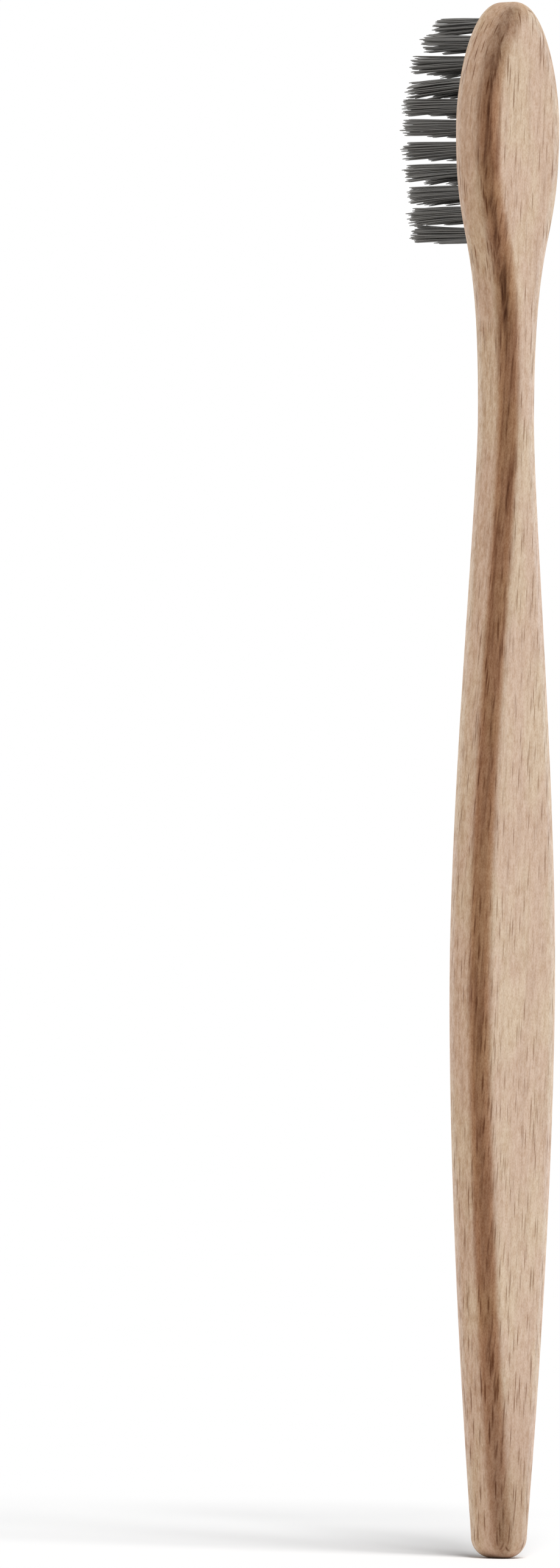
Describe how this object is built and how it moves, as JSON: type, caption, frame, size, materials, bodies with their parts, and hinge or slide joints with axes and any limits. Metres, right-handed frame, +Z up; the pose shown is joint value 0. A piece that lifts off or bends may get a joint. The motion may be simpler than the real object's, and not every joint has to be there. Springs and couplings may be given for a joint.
{
  "type": "toothbrush",
  "caption": "Manual toothbrush: a flat wooden handle with rounded edges, a narrow neck and an egg-shaped head set with short rows of dark bristle tufts.",
  "frame": {"origin": "middle of the flat foot of the handle", "axes": "+Z up the handle to the tip of the head, the bristles point to -Y, the flat back faces +Y, X across the width"},
  "size_m": [0.014, 0.0177, 0.19],
  "materials": {
    "light_wood": "bare fine-grained light wood, sanded smooth",
    "charcoal_filament": "matt dark grey nylon filament",
    "anchor_metal": "plain rolled strip"
  },
  "bodies": {
    "root": {"anchor_01_1": "anchor_metal", "anchor_02_1": "anchor_metal", "anchor_02_2": "anchor_metal", "anchor_03_1": "anchor_metal", "anchor_03_2": "anchor_metal", "anchor_03_3": "anchor_metal", "anchor_04_1": "anchor_metal", "anchor_04_2": "anchor_metal", "anchor_04_3": "anchor_metal", "anchor_05_1": "anchor_metal", "anchor_05_2": "anchor_metal", "anchor_05_3": "anchor_metal", "anchor_06_1": "anchor_metal", "anchor_06_2": "anchor_metal", "anchor_06_3": "anchor_metal", "anchor_07_1": "anchor_metal", "anchor_07_2": "anchor_metal", "anchor_07_3": "anchor_metal", "anchor_08_1": "anchor_metal", "anchor_08_2": "anchor_metal", "anchor_08_3": "anchor_metal", "anchor_09_1": "anchor_metal", "anchor_09_2": "anchor_metal", "anchor_09_3": "anchor_metal", "anchor_10_1": "anchor_metal", "anchor_10_2": "anchor_metal", "anchor_10_3": "anchor_metal", "anchor_11_1": "anchor_metal", "anchor_11_2": "anchor_metal", "handle": "light_wood", "tuft_01_1": "charcoal_filament", "tuft_02_1": "charcoal_filament", "tuft_02_2": "charcoal_filament", "tuft_03_1": "charcoal_filament", "tuft_03_2": "charcoal_filament", "tuft_03_3": "charcoal_filament", "tuft_04_1": "charcoal_filament", "tuft_04_2": "charcoal_filament", "tuft_04_3": "charcoal_filament", "tuft_05_1": "charcoal_filament", "tuft_05_2": "charcoal_filament", "tuft_05_3": "charcoal_filament", "tuft_06_1": "charcoal_filament", "tuft_06_2": "charcoal_filament", "tuft_06_3": "charcoal_filament", "tuft_07_1": "charcoal_filament", "tuft_07_2": "charcoal_filament", "tuft_07_3": "charcoal_filament", "tuft_08_1": "charcoal_filament", "tuft_08_2": "charcoal_filament", "tuft_08_3": "charcoal_filament", "tuft_09_1": "charcoal_filament", "tuft_09_2": "charcoal_filament", "tuft_09_3": "charcoal_filament", "tuft_10_1": "charcoal_filament", "tuft_10_2": "charcoal_filament", "tuft_10_3": "charcoal_filament", "tuft_11_1": "charcoal_filament", "tuft_11_2": "charcoal_filament"}
  },
  "joints": []
}
